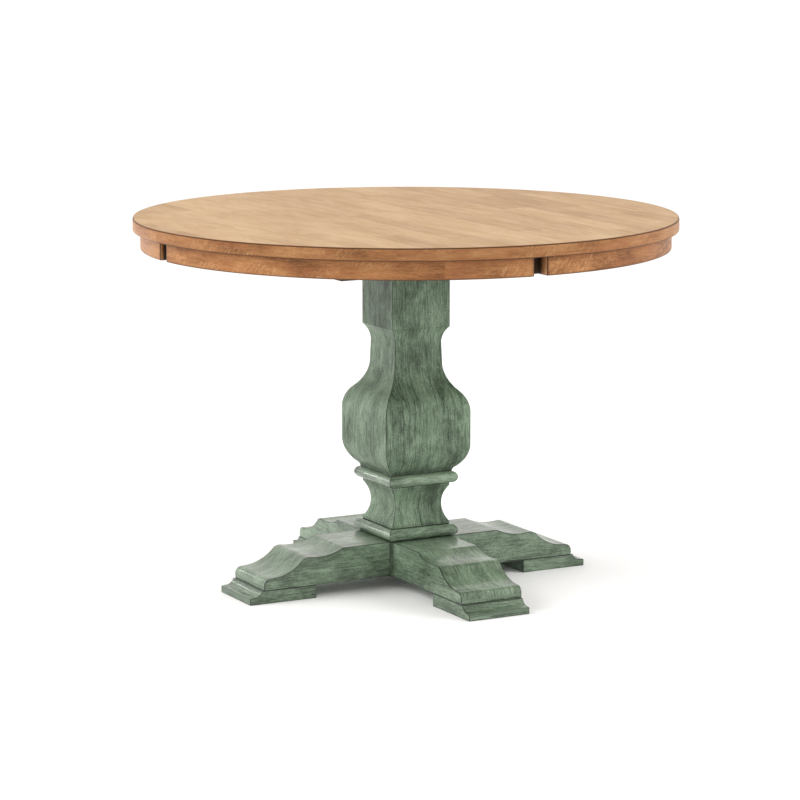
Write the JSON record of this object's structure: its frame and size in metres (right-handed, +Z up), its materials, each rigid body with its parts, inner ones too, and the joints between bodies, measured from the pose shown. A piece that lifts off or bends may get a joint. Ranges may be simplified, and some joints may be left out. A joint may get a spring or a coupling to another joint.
{
  "type": "round pedestal table",
  "caption": "Round dining table with a banded wooden top and apron on a square vase-shaped pedestal with spreading moulded feet.",
  "frame": {"origin": "on the floor under the centre of the column", "axes": "+Z up; the feet point along +X, +Y, -X and -Y; the staves of the top run along X"},
  "size_m": [1.1178, 1.118, 0.764],
  "materials": {
    "top_veneer": "light oak-toned veneer under satin lacquer",
    "edge_wood": "warm orange-brown stain under satin lacquer, arrises darkened",
    "inner_wood": "bare planed wood",
    "plate_wood": "dark stained board",
    "green_glaze": "antique sage-green paint with a brushed dark glaze, semi-gloss",
    "zinc_steel": "bright zinc plated",
    "insert_brass": "turned"
  },
  "bodies": {
    "root": {"apron_block_1": "edge_wood", "apron_block_2": "edge_wood", "apron_block_3": "edge_wood", "apron_block_4": "edge_wood", "apron_block_5": "edge_wood", "apron_block_6": "edge_wood", "apron_block_7": "edge_wood", "apron_block_8": "edge_wood", "apron_screws": "zinc_steel", "barrel_nuts_back": "zinc_steel", "barrel_nuts_front": "zinc_steel", "barrel_nuts_left": "zinc_steel", "barrel_nuts_right": "zinc_steel", "batten_screws": "zinc_steel", "column_bolts": "zinc_steel", "column_inserts": "insert_brass", "column_washers": "zinc_steel", "core_board": "inner_wood", "crosswise_batten": "inner_wood", "crosswise_leg_rods": "zinc_steel", "face_veneer": "top_veneer", "foot_pad_back": "green_glaze", "foot_pad_front": "green_glaze", "foot_pad_left": "green_glaze", "foot_pad_right": "green_glaze", "hub_post": "green_glaze", "leg_back": "green_glaze", "leg_dowels_back": "inner_wood", "leg_dowels_front": "inner_wood", "leg_dowels_left": "inner_wood", "leg_dowels_right": "inner_wood", "leg_front": "green_glaze", "leg_left": "green_glaze", "leg_right": "green_glaze", "lengthwise_batten": "inner_wood", "lengthwise_leg_rods": "zinc_steel", "lower_bead": "green_glaze", "mounting_plate": "plate_wood", "pad_screws_back": "zinc_steel", "pad_screws_front": "zinc_steel", "pad_screws_left": "zinc_steel", "pad_screws_right": "zinc_steel", "plate_screws": "zinc_steel", "rim_segment_1": "edge_wood", "rim_segment_2": "edge_wood", "rim_segment_3": "edge_wood", "rim_segment_4": "edge_wood", "rim_segment_5": "edge_wood", "rim_segment_6": "edge_wood", "tie_rod": "zinc_steel", "tie_rod_nuts": "zinc_steel", "tie_rod_washers": "zinc_steel", "upper_bead": "green_glaze", "vase_column": "green_glaze", "waist_block": "green_glaze"}
  },
  "joints": []
}
